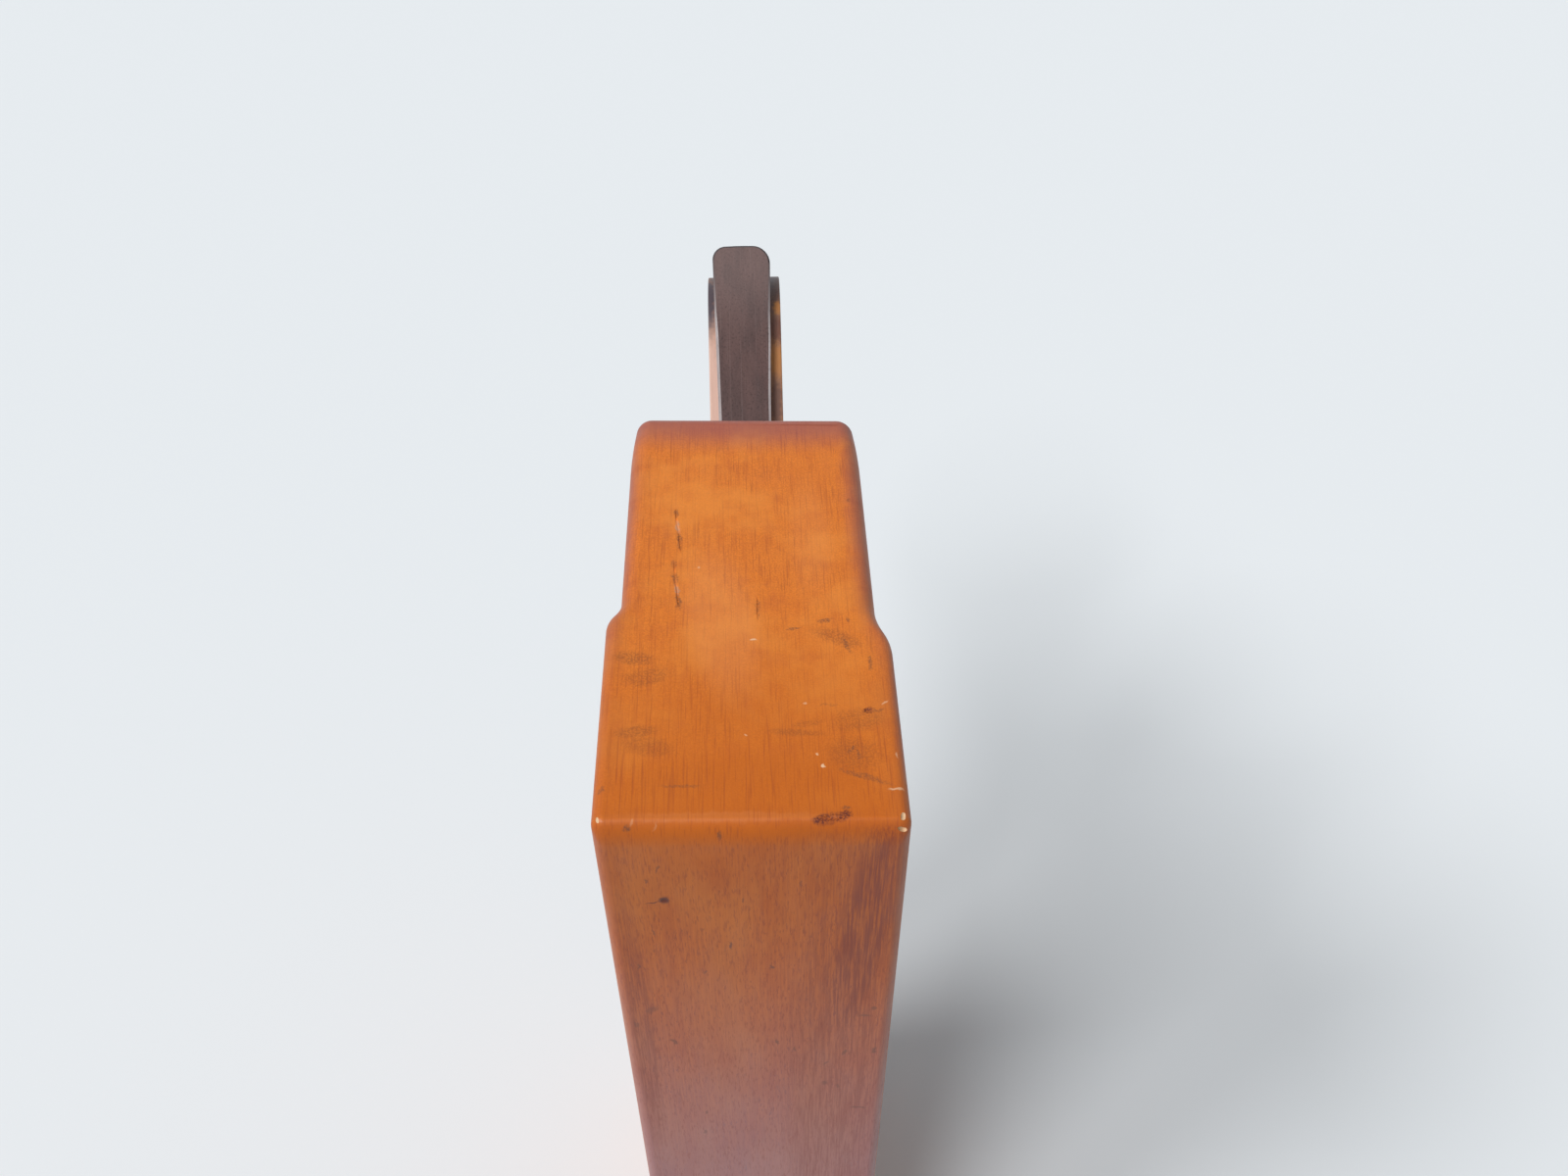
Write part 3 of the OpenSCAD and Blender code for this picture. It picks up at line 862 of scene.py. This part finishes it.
heelSplits = {
    "upper": [(-11.3, 18.6), (-11.1, 17.0), (-11.0, 15.2), (-10.65, 13.4), (-10.5, 11.2), (-10.2, 8.6)],
    "lower": [(-11.2, 6.3), (-11.05, 4.2), (-11.0, 2.6), (-10.65, 0.7), (-10.5, -1.2), (-10.3, -3.4)],
    "small": [(1.3, -0.6), (1.45, -2.4), (1.35, -4.2), (1.4, -6.2)],
}
splitSizes = {"upper": (0.9, 0.13), "lower": (0.95, 0.14), "small": (0.5, 0.12)}  # width and depth
knocks = [
    # place, half sizes, turn, material
    ((10.3, -41.6, heelAt(10) - 0.1), (2.3, 0.55, 0.26), (0, 0, 5), varnishedBeech),
    ((19.8, -41.4, heelAt(20) - 0.12), (0.4, 0.95, 0.3), (0, 20, -15), freshChip),
    ((19.6, -42.25, heelAt(20) - 1.5), (0.8, 0.4, 0.4), (0, 30, 0), freshChip),
    ((19.4, 12.2, heelAt(19) - 1.0), (0.35, 1.1, 0.8), (0, 0, 5), varnishedBeech),
    # a real chip whose pale face also stands in for the glint the corner catches: a painted highlight
    ((-20.0, -41.7, heelAt(-20) - 0.2), (0.3, 0.8, 0.26), (0, -20, 10), freshChip),
    ((-12.4, -43.0, 223.8), (0.65, 0.25, 0.6), (0, 20, 0), varnishedSole),
    ((16.5, -23.3, heelAt(16.5) + 0.05), (0.65, 0.5, 0.3), (0, 0, 20), varnishedBeech),
]
dents = [
    splitCutter("split_" + key, points, *splitSizes[key], varnishedBeech)
    for key, points in heelSplits.items()]
dents += [gougeCutter("knock_%d" % i, *knock, seed=11 + i) for i, knock in enumerate(knocks)]
carve(stockBody, dents)
easeShading(stockBody)
print("plane: stock has", len(stockBody.data.polygons), "faces")

# Iron: wide at the edge, narrow tang up through the mortise

ironForm = {
    "thickness": 3.5, "length": 214.0, "seat": 0.05,  # seat is its play on the bed
    "bladeHalf": 21.2, "bladeLength": 33.0, "shoulder": 14.0, "grind": 30.0,
    "tangHalf": 5.6, "endHalf": 6.2, "endRun": 36.0, "tangLeft": 0.2,  # the tang stands a little left
    "leftCorner": 2.6, "rightCorner": 3.6, "crown": 0.3,
    "leftChamfer": 0.6, "rightChamfer": 0.45, "frontChamfer": 0.35, "endChamfer": 0.35,
    "bladeChamfer": 0.15,
}


def ironSide(corner, edgeUp, wobble):
    # One side of the iron's outline from the cutting edge up to the end of the tang
    f = ironForm
    bladeTop = edgeUp + f["bladeLength"]
    endUp = edgeUp + f["length"]
    points = [(f["bladeHalf"], edgeUp)]
    bends = 16
    for i in range(bends + 1):
        t = i / bends
        swell = (f["bladeHalf"] - f["tangHalf"]) * (1 + math.cos(math.pi * t)) / 2
        points.append((f["tangHalf"] + swell, bladeTop + f["shoulder"] * t))
    start = points[-1][1]
    widen = endUp - f["endRun"]
    stop = endUp - corner
    steps = 28
    for i in range(1, steps):
        up = start + (stop - start) * i / steps
        half = f["tangHalf"] + (f["endHalf"] - f["tangHalf"]) * max(up - widen, 0) / (stop - widen)
        points.append((half + wobble.uniform(-0.06, 0.04), up))
    points += arcPoints(f["endHalf"] - corner, endUp - corner, corner, 0, 90, 8)
    points += [((f["endHalf"] - corner) * part, endUp) for part in (0.66, 0.33)]
    # the hammer has domed the end
    crowned = []
    for x, up in points:
        drop = f["crown"] * (x / f["endHalf"]) ** 2 * smooth(stop - 1.0, stop, up)
        crowned.append((x, up - drop))
    return crowned


def makeIron():
    f = ironForm
    front = f["seat"] + f["thickness"]
    edgeUp = -front * upBed.z / upBed.y
    endUp = edgeUp + f["length"]
    tangStart = edgeUp + f["bladeLength"] + f["shoulder"]
    grindUp = edgeUp + f["thickness"] / math.tan(math.radians(f["grind"]))
    wobble = random.Random(23)
    outline = ironSide(f["rightCorner"], edgeUp, wobble)
    outline += [(-x, up) for x, up in reversed(ironSide(f["leftCorner"], edgeUp, wobble))]
    normals = outlineNormals(outline)
    rings = [[], [], [], []]
    for (x, up), normal in zip(outline, normals):
        # the arrises are filed off by different widths, and not at all at the cutting edge
        side = f["leftChamfer"] if x < 0 else f["rightChamfer"]
        nearEnd = smooth(endUp - 22, endUp - 8, up)
        onTang = smooth(tangStart - 6, tangStart + 2, up)
        back = f["bladeChamfer"] + (side - f["bladeChamfer"]) * onTang
        back += (f["endChamfer"] - back) * nearEnd + wobble.uniform(-0.07, 0.07) * onTang
        fore = f["bladeChamfer"] + (f["frontChamfer"] - f["bladeChamfer"]) * onTang
        low = up
        if up == edgeUp:
            back, fore, low = 0.0, 0.0, grindUp
        x -= f["tangLeft"] * onTang
        rings[0].append(onBed(x - normal.x * fore, front, up - normal.y * fore))
        rings[1].append(onBed(x, front - fore, up))
        rings[2].append(onBed(x, f["seat"] + back * 0.8, low))
        rings[3].append(onBed(x - normal.x * back, f["seat"], low - normal.y * back))
    iron = loft("cuttingIron", rings, oxidisedSteel, rubbedSteel, forgeScale)
    form = bmesh.new()
    form.from_mesh(iron.data)
    # the filed chamfers along the tang and the ground bevel are bright
    tangLow, tangHigh = (onBed(0, 0, up).dot(upBed) * mm for up in (tangStart + 4, endUp - 4))
    for face in form.faces:
        along = face.calc_center_median().dot(upBed)
        leaning = abs(face.normal.dot(offBed))
        chamfer = 0.3 < leaning < 0.9 and tangLow < along < tangHigh
        ground = leaning > 0.3 and abs(face.normal.dot(upBed)) > 0.3 and along < tangLow
        face.material_index = 1 if chamfer or ground else 0
        if along > tangHigh and leaning < 0.9:
            face.material_index = 2
    bmesh.ops.remove_doubles(form, verts=form.verts, dist=1e-7)
    form.to_mesh(iron.data)
    form.free()
    easeShading(iron, 28)
    return iron


cuttingIron = makeIron()
print("plane: iron made")

# Wedge: tapered front, struck notch and round head

wedgeForm = {
    "width": 15.8, "middle": 0.2, "back": 3.6, "start": 13.0, "taper": 10.0, "nose": 20.0,
    "headRadius": 13.0, "headUp": 195.52, "neck": 15.0, "notchRadius": 9.5, "notchUp": 173.02,
    "ease": 0.75,
}


def wedgeOutline():
    f = wedgeForm
    slope = math.tan(math.radians(f["taper"]))
    back = f["back"]
    # where the tapered front runs into the notch
    notchX = back + f["neck"] + f["notchRadius"]
    a = 1 + slope ** 2
    b = 2 * (slope * (back - f["start"] * slope - notchX) - f["notchUp"])
    c = (back - f["start"] * slope - notchX) ** 2 + f["notchUp"] ** 2 - f["notchRadius"] ** 2
    beakUp = (-b - math.sqrt(b * b - 4 * a * c)) / (2 * a)
    beakX = back + (beakUp - f["start"]) * slope
    beakTurn = math.degrees(math.atan2(beakUp - f["notchUp"], beakX - notchX))
    points = [(back, f["nose"]), (back + (f["nose"] - f["start"]) * slope, f["nose"])]
    # the beak over the notch is blunted by about half a millimetre
    points.append((beakX - 0.35 * slope, beakUp - 1.2))
    points += [(beakX - 0.1, beakUp - 0.35), (beakX - 0.5, beakUp - 0.02)]
    points += arcPoints(notchX, f["notchUp"], f["notchRadius"], beakTurn - 6, -180, 18)
    headX = back + f["headRadius"]
    neckTurn = -math.degrees(math.acos((f["neck"] - f["headRadius"]) / f["headRadius"]))
    points += arcPoints(headX, f["headUp"], f["headRadius"], neckTurn, 180, 44)
    return points


def makeWedge():
    f = wedgeForm
    half = f["width"] / 2
    outline = wedgeOutline()
    rings = [[onBed(x, off, up) for off, up in outline] for x in (f["middle"] - half, f["middle"] + half)]
    wedge = loft("woodWedge", rings, oiledBeech)
    ease = wedge.modifiers.new("easedArrises", "BEVEL")
    ease.limit_method = "ANGLE"
    ease.angle_limit = math.radians(40)
    ease.width = f["ease"] * mm
    ease.segments = 4
    easeShading(wedge, 40)
    return wedge


woodWedge = makeWedge()
print("plane: wedge made")

# Floor, lamps and camera

stageLook = {
    "floor": "#e9edf0", "floorShade": "#5f5f60", "floorSize": 40.0,  # metres
    "sky": "#edf1f4", "skyStrength": 0.34,
}
lampLook = {
    # towards the lamp on the floor, height angle, width of the light's disc in degrees, strength
    "nearLamp": {"towards": (-0.56, -0.83), "rise": 48, "softness": 20, "strength": 1.45},
    "leftLamp": {"towards": (-0.94, -0.34), "rise": 48, "softness": 20, "strength": 1.45},
}
cameraLook = {
    "place": (0.00114, -0.15042, 0.39251),  # metres
    "right": (0.99952, -0.03094, -0.0021), "up": (0.02344, 0.70936, 0.70445),  # directions
    "lens": 32.625, "sensor": 36.0,
}


def seenRays(tree):
    # 1 for rays that show the stage itself: from the camera, in gloss and through glass
    path = addNode(tree, "LightPath")
    first = addNode(tree, "Math", {"operation": "MAXIMUM"}, {
        0: path.outputs["Is Camera Ray"], 1: path.outputs["Is Glossy Ray"]})
    return addNode(tree, "Math", {"operation": "MAXIMUM"}, {
        0: first, 1: path.outputs["Is Transmission Ray"]})


def makeStage():
    size = stageLook["floorSize"] / 2
    corners = [(-size, -size, 0), (size, -size, 0), (size, size, 0), (-size, size, 0)]
    mesh = bpy.data.meshes.new("paleFloor")
    mesh.from_pydata(corners, [], [(0, 1, 2, 3)])
    floor = bpy.data.objects.new("paleFloor", mesh)
    scene.collection.objects.link(floor)
    material, tree = newMaterial("palePaper")
    # the paper shows pale, but throws little of its light back up under the plane
    shade, pale = hexColour(stageLook["floorShade"]), hexColour(stageLook["floor"])
    tone = blendColour(tree, seenRays(tree), shade, pale)
    shader = addNode(tree, "BsdfPrincipled", None, {
        "Base Color": tone, "Roughness": 0.9, "Specular IOR Level": 0.1})
    addNode(tree, "OutputMaterial", None, {"Surface": shader})
    mesh.materials.append(material)
    world = bpy.data.worlds.new("paleRoom")
    world.use_nodes = True
    tree = world.node_tree
    tree.nodes.clear()
    lighting = addNode(tree, "Background", None, {
        "Color": hexColour(stageLook["sky"]), "Strength": stageLook["skyStrength"]})
    shown = addNode(tree, "Background", None, {"Color": hexColour(stageLook["sky"]), "Strength": 1.0})
    mixed = addNode(tree, "MixShader", None, {0: seenRays(tree), 1: lighting, 2: shown})
    addNode(tree, "OutputWorld", None, {"Surface": mixed})
    scene.world = world


def makeLamps():
    for name, look in lampLook.items():
        rise = math.radians(look["rise"])
        flat = Vector((*look["towards"], 0)).normalized() * math.cos(rise)
        direction = flat + Vector((0, 0, math.sin(rise)))
        data = bpy.data.lights.new(name, "SUN")
        data.angle = math.radians(look["softness"])
        data.energy = look["strength"]
        lamp = bpy.data.objects.new(name, data)
        lamp.location = direction
        lamp.rotation_euler = (-direction).to_track_quat("-Z", "Y").to_euler()
        scene.collection.objects.link(lamp)


def makeCamera():
    data = bpy.data.cameras.new("photoCamera")
    data.sensor_fit = "HORIZONTAL"
    data.sensor_width = cameraLook["sensor"]
    data.lens = cameraLook["lens"]
    data.clip_start = 0.01
    camera = bpy.data.objects.new("photoCamera", data)
    right, up = Vector(cameraLook["right"]).normalized(), Vector(cameraLook["up"]).normalized()
    back = right.cross(up)
    turned = Matrix((right, up, back)).transposed().to_4x4()
    camera.matrix_world = Matrix.Translation(cameraLook["place"]) @ turned
    scene.collection.objects.link(camera)
    scene.camera = camera


makeStage()
makeLamps()
makeCamera()
print("plane: stage, lamps and camera set")

# Bodies and replaced nodes

for piece, node, finish in (
        (stockBody, "stock", "stock_wood"),
        (cuttingIron, "iron", "iron_steel"),
        (woodWedge, "wedge", "wedge_wood")):
    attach(piece, node)
    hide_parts(node)
